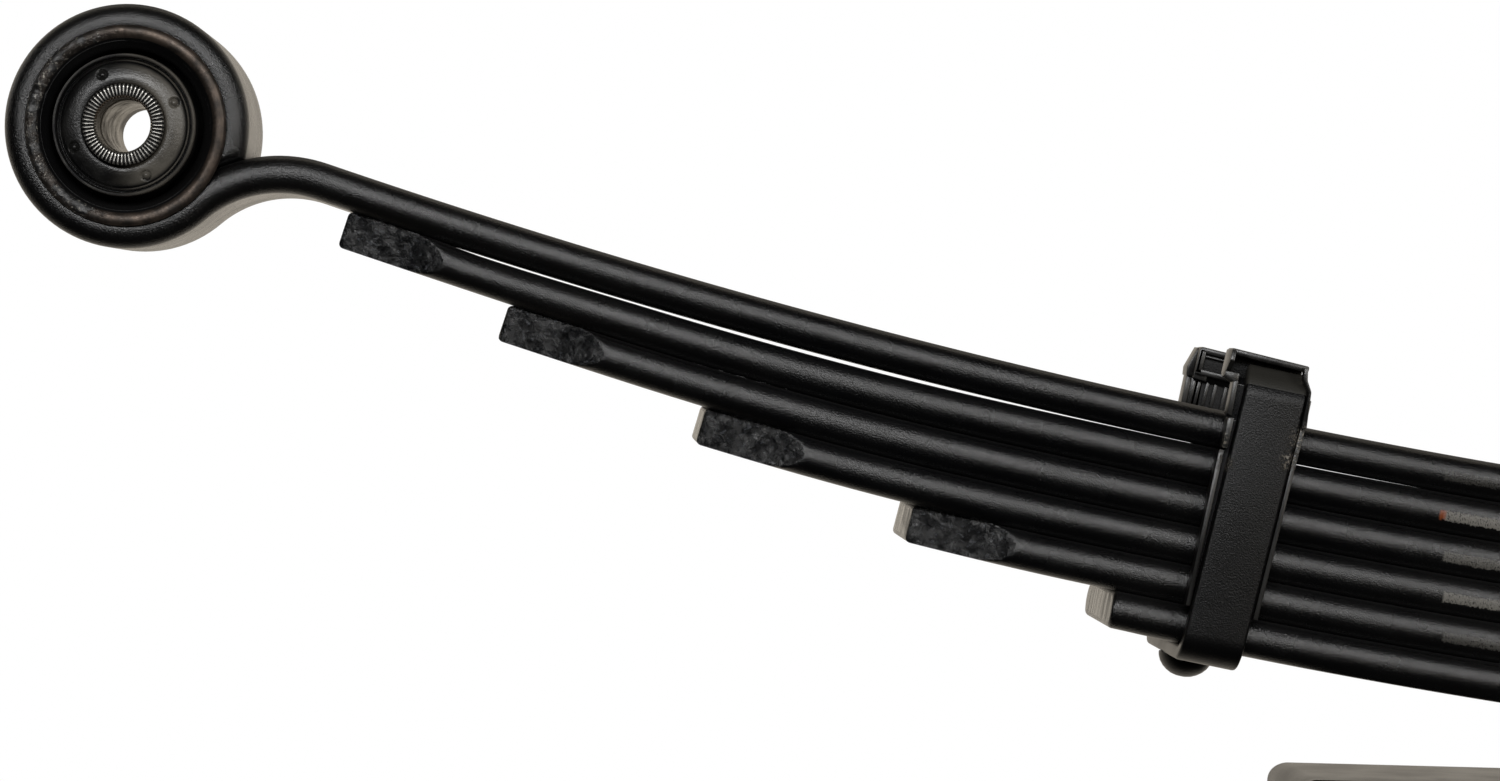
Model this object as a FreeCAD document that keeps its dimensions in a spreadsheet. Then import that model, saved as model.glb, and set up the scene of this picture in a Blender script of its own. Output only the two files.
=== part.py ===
"""Automotive leaf spring: six graduated leaves over a straight overload leaf.

The frame: X runs along the spring with the front eye towards -X, Y across the
leaves and Z up.  The origin is on the centre bolt's axis at the underside of the
overload leaf, where the spring stands on its axle seat.  Every leaf is symmetric
about the centre bolt, so each is drawn for the +X half and mirrored.
"""
import FreeCAD, Part
import math
import os

import Sketcher
from FreeCAD import Placement, Rotation, Vector

doc = FreeCAD.newDocument("LeafSpring")
sheet = doc.addObject("Spreadsheet::Sheet", "Dims")

DIMENSIONS = {
    # the leaves
    "leaf_width": 60.0,
    "leaf_thick": 10.0,
    "edge_round": 6.0,
    "camber_radius": 2030.0,
    "seat_half": 30.0,
    "tip_cut_length": 27.0,
    "tip_cut_depth": 5.0,
    # the overload leaf and the plate that spaces it
    "overload_thick": 17.2,
    "overload_round": 9.5,
    "overload_half": 375.5,
    "overload_nose": 5.0,
    "spacer_thick": 3.8,
    "spacer_length": 100.0,
    # the rolled eye
    "eye_radius": 22.5,
    "eye_x": 691.0,
    "eye_height": 182.6,
    "eye_neck": 35.0,
    "eye_end_angle": 14.0,
    # the bush in the eye
    "bush_wall": 2.0,
    "bush_flange_radius": 26.7,
    "bush_flange_thick": 1.7,
    "bush_throat_flare": 0.6,
    "bush_bore": 7.25,
    "core_radius": 10.75,
    "core_length": 76.0,
    "rubber_boss_radius": 18.9,
    "rubber_boss_length": 71.0,
    "rubber_web_length": 40.0,
    "slip": 0.05,
    # the centre bolt
    "bolt_radius": 5.0,
    "bolt_hole": 5.4,
    "bolt_head_radius": 9.0,
    "bolt_head_height": 8.0,
    "bolt_thread_out": 4.0,
    "bolt_chamfer": 1.0,
    "nut_across_flats": 17.0,
    "nut_height": 10.0,
    # the rebound clip
    "clip_angle": 10.16,
    "clip_width": 16.3,
    "clip_thick": 4.0,
    "clip_inside": 66.6,
    "clip_top": 76.0,
    "clip_bend": 8.0,
    "liner_width": 22.0,
    "liner_foot": 10.6,
    "liner_top": 78.7,
    "liner_gap": 0.4,
    "liner_rim": 1.2,
    "liner_rim_reach": 2.4,
    "liner_hook_reach": 4.5,
    "liner_overhang": 4.0,
    "rivet_radius": 4.0,
    "rivet_hole": 4.3,
    "rivet_head_radius": 7.2,
    "rivet_head_height": 5.6,
}

for row, (alias, value) in enumerate(DIMENSIONS.items(), start=1):
    sheet.set(f"A{row}", alias)
    sheet.set(f"B{row}", str(value))
    sheet.setAlias(f"B{row}", alias)
doc.recompute()


def dim(alias):
    """A driving dimension, read back from the sheet."""
    return float(sheet.get(alias))


# Graduated leaves, top to bottom: how far each reaches, measured out along the main
# leaf's top face, the gap above it at the rebound clip, and how much further that
# gap swells between clip and tip.
GRADUATED = [
    ("second_leaf", 637.5, 0.6, 1.3),
    ("third_leaf", 590.0, 0.8, 0.4),
    ("fourth_leaf", 532.7, 0.5, 0.3),
    ("fifth_leaf", 473.8, 0.5, 0.2),
    ("sixth_leaf", 418.3, 0.4, 0.1),
]

LEAF_COUNT = 1 + len(GRADUATED)
STACK_BASE = dim("overload_thick") + dim("spacer_thick")
STACK_TOP = STACK_BASE + LEAF_COUNT * dim("leaf_thick")
ARC_CENTRE = Vector(dim("seat_half"), 0, STACK_TOP + dim("camber_radius"))
CLIP_ANGLE = math.radians(dim("clip_angle"))


def tip_angle(index):
    """The camber angle, in radians from the seat's edge, at a leaf's tip."""
    return (GRADUATED[index][1] - dim("seat_half")) / dim("camber_radius")


def camber_point(angle, depth):
    """The point of the +X half at a camber angle and a depth under the top face."""
    reach = dim("camber_radius") + depth
    return ARC_CENTRE + Vector(reach * math.sin(angle), 0, -reach * math.cos(angle))


def gap_above(index, angle):
    """The gap between a graduated leaf and the leaf above it.

    The leaves are tight in the seat and meet again at the shorter leaf's tip.
    From the seat to the clip the gap grows evenly, and past the clip it swells
    and closes, as nipped leaves do.
    """
    _, _, at_clip, swell = GRADUATED[index]
    if angle <= CLIP_ANGLE:
        rise = angle / CLIP_ANGLE
        return at_clip * rise * rise * (3 - 2 * rise)
    run = (angle - CLIP_ANGLE) / (tip_angle(index) - CLIP_ANGLE)
    left = 1 - run * run * (3 - 2 * run)
    return dim("slip") + (at_clip - dim("slip")) * left + swell * math.sin(math.pi * run) ** 2


def leaf_depth(index, angle):
    """How far graduated leaf `index` has its middle under the main leaf's top."""
    gaps = sum(gap_above(above, angle) for above in range(index + 1))
    return gaps + (index + 1.5) * dim("leaf_thick")


# ---------------------------------------------------------------- small helpers

def new_body(label):
    body = doc.addObject("PartDesign::Body", label)
    body.Label = label
    return body


def origin_plane(body, role):
    return next(item for item in body.Origin.OriginFeatures if item.Role == role)


def new_sketch(body, name, role):
    """A sketch on one of the body's own origin planes."""
    sketch = body.newObject("Sketcher::SketchObject", name)
    sketch.AttachmentSupport = [(origin_plane(body, role), "")]
    sketch.MapMode = "FlatFace"
    return sketch


def close_loop(sketch, first, count):
    """Join `count` edges, from index `first`, wherever one's end meets the next's."""
    for step in range(count):
        here, after = first + step, first + (step + 1) % count
        leave, enter = next(
            (leave, enter) for leave in (2, 1) for enter in (1, 2)
            if sketch.getPoint(here, leave).isEqual(sketch.getPoint(after, enter), 1e-6)
        )
        sketch.addConstraint(Sketcher.Constraint("Coincident", here, leave, after, enter))


def bind(sketch, constraint, expression):
    """Add a constraint whose size follows an expression on the sheet."""
    index = sketch.addConstraint(constraint)
    sketch.setExpression(f"Constraints[{index}]", expression)


def circle(sketch, radius, expression, x=0.0, y=0.0):
    """A circle with its radius bound to the sheet."""
    edge = sketch.addGeometry(Part.Circle(Vector(x, y, 0), Vector(0, 0, 1), radius))
    bind(sketch, Sketcher.Constraint("Radius", edge, radius), expression)
    return edge


def polygon(sketch, points):
    """A closed outline of straight edges through (x, y) points."""
    corners = [Vector(x, y, 0) for x, y in points]
    first = len(sketch.Geometry)
    for start, end in zip(corners, corners[1:] + corners[:1]):
        sketch.addGeometry(Part.LineSegment(start, end))
    close_loop(sketch, first, len(corners))


def pad(body, sketch, length):
    feature = body.newObject("PartDesign::Pad", "Pad")
    feature.Profile = sketch
    feature.SideType = "Symmetric"
    feature.setExpression("Length", length)


def cut_up(body, sketch, name, height):
    """Cut a plan outline upwards through everything above it."""
    doc.recompute()
    before = body.Shape.Volume
    feature = body.newObject("PartDesign::Pocket", name)
    feature.Profile = sketch
    feature.Reversed = True
    feature.Length = height
    doc.recompute()
    assert body.Shape.Volume < before - 1, f"{body.Label}: {name} cut nothing"


def cut_across(body, sketch, name):
    """Cut a side outline through the whole width of the leaves."""
    doc.recompute()
    before = body.Shape.Volume
    feature = body.newObject("PartDesign::Pocket", name)
    feature.Profile = sketch
    feature.SideType = "Symmetric"
    feature.setExpression("Length", "Dims.leaf_width + 2")
    doc.recompute()
    assert body.Shape.Volume < before - 1, f"{body.Label}: {name} cut nothing"


def turn(body, sketch, name="Turned"):
    """Revolve a sketch on the XY plane about the Y axis."""
    feature = body.newObject("PartDesign::Revolution", name)
    feature.Profile = sketch
    feature.ReferenceAxis = (sketch, ["V_Axis"])
    feature.Angle = 360
    return feature


# ------------------------------------------------------------------- the leaves

def bar_profile(body, leaves_below, thick, rounding):
    """The rounded-edge bar section on the YZ plane, standing on the leaves below it.

    With None below, the bar lies on the axle seat itself.
    """
    sketch = new_sketch(body, "BarSection", "YZ_Plane")
    thickness, radius = dim(thick), dim(rounding)
    bulge = radius - math.sqrt(radius**2 - thickness**2 / 4)
    flat = dim("leaf_width") / 2 - bulge
    base = 0.0 if leaves_below is None else STACK_BASE + leaves_below * dim("leaf_thick")
    low, high = base, base + thickness
    corners = [(flat, low), (flat, high), (-flat, high), (-flat, low)]
    right_low, right_high, left_high, left_low = [Vector(y, z, 0) for y, z in corners]
    right_mid = Vector(dim("leaf_width") / 2, base + thickness / 2, 0)
    left_mid = Vector(-right_mid.x, right_mid.y, 0)
    sketch.addGeometry(Part.LineSegment(left_low, right_low))
    sketch.addGeometry(Part.Arc(right_low, right_mid, right_high))
    sketch.addGeometry(Part.LineSegment(right_high, left_high))
    sketch.addGeometry(Part.Arc(left_high, left_mid, left_low))
    close_loop(sketch, 0, 4)
    for line in (0, 2):
        sketch.addConstraint(Sketcher.Constraint("Symmetric", line, 1, line, 2, -2))
    sketch.addConstraint(Sketcher.Constraint("Equal", 0, 2))
    bind(sketch, Sketcher.Constraint("DistanceX", 0, 1, 0, 2, 2 * flat),
         f"Dims.leaf_width - 2 * (Dims.{rounding}"
         f" - sqrt(Dims.{rounding} ^ 2 - Dims.{thick} ^ 2 / 4))")
    bind(sketch, Sketcher.Constraint("DistanceY", 0, 2, 2, 1, thickness), f"Dims.{thick}")
    for arc in (1, 3):
        bind(sketch, Sketcher.Constraint("Radius", arc, radius), f"Dims.{rounding}")
    if leaves_below is None:
        sketch.addConstraint(Sketcher.Constraint("PointOnObject", 0, 1, -1))
    else:
        bind(sketch, Sketcher.Constraint("DistanceY", -1, 1, 0, 1, base),
             f"Dims.overload_thick + Dims.spacer_thick + {leaves_below} * Dims.leaf_thick")
    return sketch


def swept_leaf(label, leaves_below, path_edges):
    """A leaf swept from the seat's middle along the +X half, then mirrored."""
    body = new_body(label)
    path = new_sketch(body, "CentreLine", "XZ_Plane")
    for edge in path_edges:
        path.addGeometry(edge)
    section = bar_profile(body, leaves_below, "leaf_thick", "edge_round")
    doc.recompute()
    sweep = body.newObject("PartDesign::AdditivePipe", "Sweep")
    sweep.Profile = section
    sweep.Spine = (path, [f"Edge{number + 1}" for number in range(len(path_edges))])
    doc.recompute()
    other_half = body.newObject("PartDesign::Mirrored", "OtherHalf")
    other_half.Originals = [sweep]
    other_half.MirrorPlane = (origin_plane(body, "YZ_Plane"), [""])
    body.Tip = other_half
    doc.recompute()
    return body


def flat(point):
    """A point of the XZ plane in the sketch's own coordinates."""
    return Vector(point.x, point.z, 0)


def graduated_path(index):
    """The centre line of a graduated leaf: a straight seat, then a gentle spline."""
    seat_middle = STACK_TOP - (index + 1.5) * dim("leaf_thick")
    seat_end = Vector(dim("seat_half"), seat_middle, 0)
    spans = 14
    angles = [tip_angle(index) * step / spans for step in range(spans + 1)]

    def middle(angle):
        return flat(camber_point(angle, leaf_depth(index, angle)))

    spline = Part.BSplineCurve()
    spline.interpolate(
        Points=[middle(angle) for angle in angles],
        InitialTangent=Vector(1, 0, 0),
        FinalTangent=(middle(angles[-1]) - middle(angles[-1] - 0.001)).normalize(),
    )
    return [Part.LineSegment(Vector(0, seat_middle, 0), seat_end), spline]


def tip_corners(body, index):
    """Cut both corners off each tip.  The shortest leaf alone keeps its square ends."""
    angle = tip_angle(index)
    tip = camber_point(angle, leaf_depth(index, angle) + dim("leaf_thick") / 2).x
    root = tip - dim("tip_cut_length")
    edge = dim("leaf_width") / 2
    inner, outer = edge - dim("tip_cut_depth"), edge + 1
    plan = new_sketch(body, "TipCorners", "XY_Plane")
    for way in (-1, 1):
        for side in (-1, 1):
            corner = [(root, edge), (root, outer), (tip + 1, outer), (tip + 1, inner)]
            polygon(plan, [(way * x, side * y) for x, y in corner])
    cut_up(body, plan, "TipCorners", STACK_TOP * 3)


def bolt_hole(body):
    plan = new_sketch(body, "BoltHole", "XY_Plane")
    circle(plan, dim("bolt_hole"), "Dims.bolt_hole")
    cut_up(body, plan, "BoltHole", STACK_TOP * 3)


def clip_frame(way):
    """The clip's own frame: on the sixth leaf's underside, +Z square to the leaf."""
    underside = leaf_depth(LEAF_COUNT - 2, CLIP_ANGLE) + dim("leaf_thick") / 2
    foot = camber_point(CLIP_ANGLE, underside)
    tilt = Rotation(Vector(0, 1, 0), -way * dim("clip_angle"))
    return Placement(Vector(way * foot.x, 0, foot.z), tilt)


ENDS = {"front": -1, "rear": 1}


def rivet_holes(body):
    for way in ENDS.values():
        frame = clip_frame(way)
        drill = body.newObject("PartDesign::SubtractiveCylinder", "RivetHole")
        drill.setExpression("Radius", "Dims.rivet_hole")
        drill.setExpression("Height", "3 * Dims.leaf_thick")
        drill.Placement = Placement(frame.multVec(Vector(0, 0, -10)), frame.Rotation)
        body.Tip = drill
        doc.recompute()


def arc_about(centre, radius, start_deg, end_deg):
    """A sketch arc from one polar angle to another, with its middle between them."""
    at = [math.radians(a) for a in (start_deg, (start_deg + end_deg) / 2, end_deg)]
    return Part.Arc(*[centre + Vector(math.cos(a), math.sin(a), 0) * radius for a in at])


def main_leaf_path():
    """Seat, camber, neck and rolled eye of the main leaf, as tangent arcs.

    The neck turns the other way from the camber and hands over to the eye, which
    is rolled up over the leaf and ends on top of the neck.
    """
    middle = dim("leaf_thick") / 2
    camber = dim("camber_radius") + middle
    centre = flat(ARC_CENTRE)
    eye = Vector(dim("eye_x"), dim("eye_height"), 0)
    roll = dim("eye_radius") + middle
    # the neck's centre lies at a known distance from both other centres
    apart = eye - centre
    far, near = camber + dim("eye_neck"), roll + dim("eye_neck")
    foot = (far**2 - near**2 + apart.Length**2) / (2 * apart.Length)
    lift = math.sqrt(far**2 - foot**2)
    ahead = Vector(apart).normalize()
    inward = Vector(ahead.y, -ahead.x, 0)
    neck = centre + ahead * foot + inward * lift
    to_neck = math.degrees(math.atan2(neck.y - centre.y, neck.x - centre.x))
    to_eye = math.degrees(math.atan2(eye.y - neck.y, eye.x - neck.x))
    away = to_neck + 180
    roll_start = to_eye + 180
    # the free end comes round past the top and stops a little under the middle
    roll_end = 360 + 180 + dim("eye_end_angle")
    start = Vector(0, centre.y - camber, 0)
    return [
        Part.LineSegment(start, Vector(centre.x, start.y, 0)),
        arc_about(centre, camber, -90, to_neck),
        arc_about(neck, dim("eye_neck"), away, to_eye),
        arc_about(eye, roll, roll_start, roll_end),
    ]


def main_leaf():
    bolt_hole(swept_leaf("main_leaf", LEAF_COUNT - 1, main_leaf_path()))


def graduated_leaves():
    for index, (label, *_) in enumerate(GRADUATED):
        body = swept_leaf(label, LEAF_COUNT - 2 - index, graduated_path(index))
        bolt_hole(body)
        if label == GRADUATED[-1][0]:
            rivet_holes(body)
        else:
            tip_corners(body, index)


def overload_leaf():
    body = new_body("overload_leaf")
    pad(body, bar_profile(body, None, "overload_thick", "overload_round"), "2 * Dims.overload_half")
    doc.recompute()
    side = new_sketch(body, "Noses", "XZ_Plane")
    end, top, radius = dim("overload_half"), dim("overload_thick"), dim("overload_nose")
    for way in (-1, 1):
        first = len(side.Geometry)
        over, past = Vector(way * (end - radius), top, 0), Vector(way * end, top - radius, 0)
        slope = radius * math.sqrt(0.5)
        between = Vector(way * (end - radius + slope), top - radius + slope, 0)
        outside = [past, Vector(way * (end + 1), top - radius, 0),
                   Vector(way * (end + 1), top + 1, 0), over + Vector(0, 1, 0), over]
        side.addGeometry(Part.Arc(over, between, past))
        for start, finish in zip(outside, outside[1:]):
            side.addGeometry(Part.LineSegment(start, finish))
        close_loop(side, first, len(outside))
    cut_across(body, side, "Noses")
    bolt_hole(body)


def overload_spacer():
    body = new_body("overload_spacer")
    plan = new_sketch(body, "Plan", "XY_Plane")
    plan.AttachmentOffset = Placement(Vector(0, 0, dim("overload_thick")), Rotation())
    half_long, half_wide = dim("spacer_length") / 2, dim("leaf_width") / 2
    polygon(plan, [(-half_long, -half_wide), (half_long, -half_wide),
                   (half_long, half_wide), (-half_long, half_wide)])
    circle(plan, dim("bolt_hole"), "Dims.bolt_hole")
    plate = body.newObject("PartDesign::Pad", "Plate")
    plate.Profile = plan
    plate.setExpression("Length", "Dims.spacer_thick")


# -------------------------------------------------------------- the centre bolt

def centre_bolt():
    """A cheese-headed bolt, head down: the head locates the spring on its seat."""
    body = new_body("centre_bolt")
    half = new_sketch(body, "HalfSection", "XZ_Plane")
    shank, head = dim("bolt_radius"), dim("bolt_head_radius")
    under, chamfer = -dim("bolt_head_height"), dim("bolt_chamfer")
    top = STACK_TOP + dim("nut_height") + dim("bolt_thread_out")
    polygon(half, [(0, under), (head - chamfer, under), (head, under + chamfer), (head, 0),
                   (shank, 0), (shank, top - chamfer), (shank - chamfer, top), (0, top)])
    turn(body, half)


def centre_nut():
    body = new_body("centre_nut")
    plan = new_sketch(body, "Plan", "XY_Plane")
    plan.AttachmentOffset = Placement(Vector(0, 0, STACK_TOP), Rotation())
    corner = dim("nut_across_flats") / math.sqrt(3)
    turns = [math.radians(60 * side + 30) for side in range(6)]
    polygon(plan, [(corner * math.cos(a), corner * math.sin(a)) for a in turns])
    circle(plan, dim("bolt_radius") + dim("slip"), "Dims.bolt_radius + Dims.slip")
    block = body.newObject("PartDesign::Pad", "Block")
    block.Profile = plan
    block.setExpression("Length", "Dims.nut_height")


# ------------------------------------------------------------- the rebound clips

def clip_strap(label, frame):
    """A flat strap folded into a U under the sixth leaf and riveted to it."""
    body = new_body(label)
    outline = new_sketch(body, "Fold", "YZ_Plane")
    thick, top, bend = dim("clip_thick"), dim("clip_top"), dim("clip_bend")
    inside = dim("clip_inside") / 2
    outside, under, inner_bend = inside + thick, -thick - dim("slip"), bend - thick
    slope = math.sqrt(0.5)

    def corner(way, radius, reach, low):
        """The rounded corner of the U, from its floor up to its leg."""
        middle = Vector(way * (reach - radius), low + radius, 0)
        floor_end = middle + Vector(0, -radius, 0)
        between = middle + Vector(way * radius * slope, -radius * slope, 0)
        return floor_end, between, middle + Vector(way * radius, 0, 0)

    outer_left, outer_right = [corner(way, bend, outside, under) for way in (-1, 1)]
    inner_left, inner_right = [corner(way, inner_bend, inside, under + thick) for way in (-1, 1)]
    right_top = [Vector(outside, top, 0), Vector(inside, top, 0)]
    left_top = [Vector(-inside, top, 0), Vector(-outside, top, 0)]
    edges = [
        Part.LineSegment(outer_left[0], outer_right[0]),
        Part.Arc(*outer_right),
        Part.LineSegment(outer_right[2], right_top[0]),
        Part.LineSegment(*right_top),
        Part.LineSegment(right_top[1], inner_right[2]),
        Part.Arc(*reversed(inner_right)),
        Part.LineSegment(inner_right[0], inner_left[0]),
        Part.Arc(*inner_left),
        Part.LineSegment(inner_left[2], left_top[0]),
        Part.LineSegment(*left_top),
        Part.LineSegment(left_top[1], outer_left[2]),
        Part.Arc(*reversed(outer_left)),
    ]
    for edge in edges:
        outline.addGeometry(edge)
    close_loop(outline, 0, len(edges))
    pad(body, outline, "Dims.clip_width")
    rivet = new_sketch(body, "RivetHole", "XY_Plane")
    rivet.AttachmentOffset = Placement(Vector(0, 0, under - 1), Rotation())
    circle(rivet, dim("rivet_radius") + dim("slip"), "Dims.rivet_radius + Dims.slip")
    cut_up(body, rivet, "RivetHole", thick + 2)
    body.Placement = frame


def clip_liner(label, frame, side):
    """A moulded channel that stands between one strap leg and the leaf edges.

    Its floor faces the leaves, its two rims run up beside the strap and its head
    lies over the strap's end and reaches a little way in over the main leaf.
    """
    body = new_body(label)
    slip = dim("slip")
    leaf_edge = dim("leaf_width") / 2
    back, strap = leaf_edge + dim("liner_gap"), dim("clip_inside") / 2
    rim_front, head_front = strap + dim("liner_rim_reach"), strap + dim("liner_hook_reach")
    head_back = leaf_edge - dim("liner_overhang")
    half, rim = dim("liner_width") / 2, dim("liner_rim")
    channel = new_sketch(body, "Channel", "XY_Plane")
    channel.AttachmentOffset = Placement(Vector(0, 0, dim("liner_foot")), Rotation())
    floor_front = strap - 2 * slip
    polygon(channel, [(x, side * y) for x, y in (
        (-half, back), (half, back), (half, rim_front), (half - rim, rim_front),
        (half - rim, floor_front), (rim - half, floor_front), (rim - half, rim_front),
        (-half, rim_front))])
    wall = body.newObject("PartDesign::Pad", "Wall")
    wall.Profile = channel
    wall.setExpression("Length", "Dims.liner_top - Dims.liner_foot")
    hook = new_sketch(body, "Hook", "XY_Plane")
    hook.AttachmentOffset = Placement(Vector(0, 0, dim("clip_top") + 4 * slip), Rotation())
    polygon(hook, [(x, side * y) for x, y in (
        (-half, head_back), (half, head_back), (half, head_front), (-half, head_front))])
    head = body.newObject("PartDesign::Pad", "Head")
    head.Profile = hook
    head.setExpression("Length", "Dims.liner_top - Dims.clip_top - 4 * Dims.slip")
    body.Placement = frame


def clip_rivet(label, frame):
    """A dome-headed rivet up through the strap's floor, flush in the sixth leaf."""
    body = new_body(label)
    half = new_sketch(body, "HalfSection", "XZ_Plane")
    shank, head, rise = dim("rivet_radius"), dim("rivet_head_radius"), dim("rivet_head_height")
    under = -dim("clip_thick") - 2 * dim("slip")
    crown = (head**2 + rise**2) / (2 * rise)
    turn_half = math.asin(head / crown) / 2
    middle = Vector(0, under - rise + crown, 0)
    dome = Part.Arc(
        Vector(0, under - rise, 0),
        middle + Vector(math.sin(turn_half), -math.cos(turn_half), 0) * crown,
        Vector(head, under, 0),
    )
    top = dim("leaf_thick") - 4 * dim("slip")
    rest = [Vector(head, under, 0), Vector(shank, under, 0), Vector(shank, top, 0),
            Vector(0, top, 0), Vector(0, under - rise, 0)]
    half.addGeometry(dome)
    for start, end in zip(rest, rest[1:]):
        half.addGeometry(Part.LineSegment(start, end))
    close_loop(half, 0, len(rest))
    turn(body, half)
    body.Placement = frame


def rebound_clip(end, frame):
    clip_strap(f"{end}_clip_strap", frame)
    clip_rivet(f"{end}_clip_rivet", frame)
    for hand, side in (("left", 1), ("right", -1)):
        clip_liner(f"{end}_clip_liner_{hand}", frame, side)


# ------------------------------------------------------------- the eye bushes

def ring(label, half_section, frame):
    """A ring turned about the eye's Y axis from (radius, y) corners."""
    body = new_body(label)
    sketch = new_sketch(body, "HalfSection", "XY_Plane")
    polygon(sketch, half_section)
    turn(body, sketch)
    body.Placement = frame
    return body


def eye_bush(end, frame):
    """A bonded bush: flanged outer sleeve, rubber and a plain inner sleeve."""
    slip, wall = dim("slip"), dim("bush_wall")
    edge = dim("leaf_width") / 2
    tube = dim("eye_radius") - slip
    bore = tube - wall
    face = edge + 2 * slip
    front = -face - dim("bush_flange_thick")
    flange, throat = dim("bush_flange_radius"), dim("eye_radius") + dim("bush_throat_flare")
    ring(f"{end}_bush_sleeve", [
        (bore, edge), (tube, edge), (tube, -face), (flange, -face), (flange, front),
        (throat, front), (bore, front + throat - bore)], frame)
    boss, web = dim("rubber_boss_radius"), dim("rubber_web_length") / 2
    boss_end = dim("rubber_boss_length") / 2
    core = dim("core_radius")
    ring(f"{end}_bush_rubber", [
        (core + slip, -boss_end), (boss, -boss_end), (boss, -web), (bore - slip, -web),
        (bore - slip, web), (boss, web), (boss, boss_end), (core + slip, boss_end)], frame)
    half = dim("core_length") / 2
    ring(f"{end}_bush_core", [
        (dim("bush_bore"), -half), (core, -half), (core, half), (dim("bush_bore"), half)], frame)


# ------------------------------------------------------------------- the model

main_leaf()
graduated_leaves()
overload_leaf()
overload_spacer()
centre_bolt()
centre_nut()
for end, way in ENDS.items():
    rebound_clip(end, clip_frame(way))
    eye_bush(end, Placement(Vector(way * dim("eye_x"), 0, dim("eye_height")), Rotation()))
doc.recompute()

for item in doc.Objects:
    if {"Invalid", "Error"} & set(item.State):
        raise RuntimeError(f"{item.Label} did not compute: {item.State}")

pieces = [item for item in doc.Objects if item.TypeId == "PartDesign::Body"]
for piece in pieces:
    if piece.Shape.isNull() or not piece.Shape.isValid():
        raise RuntimeError(f"{piece.Label} has no valid shape")

os.makedirs("parts", exist_ok=True)
for piece in pieces:
    piece.Shape.exportStep(f"parts/{piece.Label}.step")
    print(f"{piece.Label:24s} {len(piece.Shape.Solids)} solid {piece.Shape.Volume:12.0f} mm3")
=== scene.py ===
"""A multi-leaf automotive spring with its finishes, floor, lights and camera.

Sizes below are in millimetres and are turned into metres where a mesh is made.
X runs along the spring with the front eye towards -X, Y across the leaves, Z up.
Each half is drawn for +X and mirrored by `way`: -1 is the front, +1 the rear.
"""

import math

import bmesh
import bpy
from mathutils import Matrix, Vector, noise


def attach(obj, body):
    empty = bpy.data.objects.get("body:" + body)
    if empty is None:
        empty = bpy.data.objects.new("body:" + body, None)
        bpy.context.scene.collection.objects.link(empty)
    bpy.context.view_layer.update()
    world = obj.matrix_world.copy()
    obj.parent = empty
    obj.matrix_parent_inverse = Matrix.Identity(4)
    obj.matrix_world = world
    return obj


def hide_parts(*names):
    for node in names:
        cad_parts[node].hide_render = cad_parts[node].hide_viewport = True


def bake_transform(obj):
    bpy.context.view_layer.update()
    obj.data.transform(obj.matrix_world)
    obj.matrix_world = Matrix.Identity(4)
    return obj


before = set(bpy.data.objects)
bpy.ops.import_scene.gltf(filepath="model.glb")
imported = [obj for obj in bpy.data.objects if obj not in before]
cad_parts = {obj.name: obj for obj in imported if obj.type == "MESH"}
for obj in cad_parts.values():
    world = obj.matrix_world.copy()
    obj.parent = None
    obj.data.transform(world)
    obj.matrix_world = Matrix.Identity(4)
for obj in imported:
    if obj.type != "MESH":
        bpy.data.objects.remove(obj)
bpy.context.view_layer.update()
scene = bpy.context.scene
MM = 0.001
ENDS = {"front": -1, "rear": 1}

# ------------------------------------------------------------- the spring's lines

THICK, HALF_WIDTH, EDGE_BULGE = 10.0, 30.0, 4.1
SEAT_HALF, RADIUS = 30.0, 2030.0
STACK_TOP = 81.0
CENTRE = Vector((SEAT_HALF, STACK_TOP + RADIUS))
CLIP_TILT = math.radians(10.16)
SLIP = 0.05
# how far each sheared face leans back, by leaf
SHEAR_LEAN = {"second_leaf": -0.075, "third_leaf": -0.01, "fourth_leaf": 0.02,
              "fifth_leaf": 0.075}
# name, reach along the main leaf's top, gap above it at the clip, swell beyond it
GRADUATED = [
    ("second_leaf", 637.5, 0.6, 1.3),
    ("third_leaf", 590.0, 0.8, 0.4),
    ("fourth_leaf", 532.7, 0.5, 0.3),
    ("fifth_leaf", 473.8, 0.5, 0.2),
    ("sixth_leaf", 418.3, 0.4, 0.1),
]
EYE = Vector((691.0, 182.6))
NECK, ROLL, ROLL_END = 35.0, 27.5, math.radians(540 + 14)
CLIP_REACH = SEAT_HALF + CLIP_TILT * RADIUS
# the share of each gap that paint and dirt close; below the main leaf it falls off
# beyond the clip, over an angle about the arc's centre
FILL, FIRST_FILL, FIRST_FILL_LOST, FIRST_FILL_FADE = 0.85, 0.75, 0.45, 0.05
# the stretch behind its tip where the second leaf stands off, as angles, and how far
SPRUNG_FROM, SPRUNG_RISE, SPRUNG_TO, SPRUNG_FALL = 0.258, 0.022, 0.281, 0.007
SPRUNG_DROP = 0.45
# the distance between two cross-sections along a leaf, round the eye and in its wedge
LEAF_STEP, EYE_STEP, WEDGE_STEP = 6.0, 1.6, 0.8
WEDGE_TURN = math.radians(19)


def smooth_step(t):
    t = min(max(t, 0.0), 1.0)
    return t * t * (3 - 2 * t)


def gap_above(index, angle):
    _, reach, at_clip, swell = GRADUATED[index]
    if angle <= CLIP_TILT:
        rise = max(angle, 0.0) / CLIP_TILT
        return at_clip * rise * rise * (3 - 2 * rise)
    run = (angle - CLIP_TILT) / ((reach - SEAT_HALF) / RADIUS - CLIP_TILT)
    left = 1 - run * run * (3 - 2 * run)
    return SLIP + (at_clip - SLIP) * left + swell * math.sin(math.pi * run) ** 2


def leaf_point(index, reach):
    """The middle of a leaf at a reach along the main leaf's top; -1 is the main leaf."""
    angle = (reach - SEAT_HALF) / RADIUS
    depth = (index + 1.5) * THICK + sum(gap_above(i, angle) for i in range(index + 1))
    if angle <= 0:
        return Vector((reach, STACK_TOP - depth))
    return CENTRE + (RADIUS + depth) * Vector((math.sin(angle), -math.cos(angle)))


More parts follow.
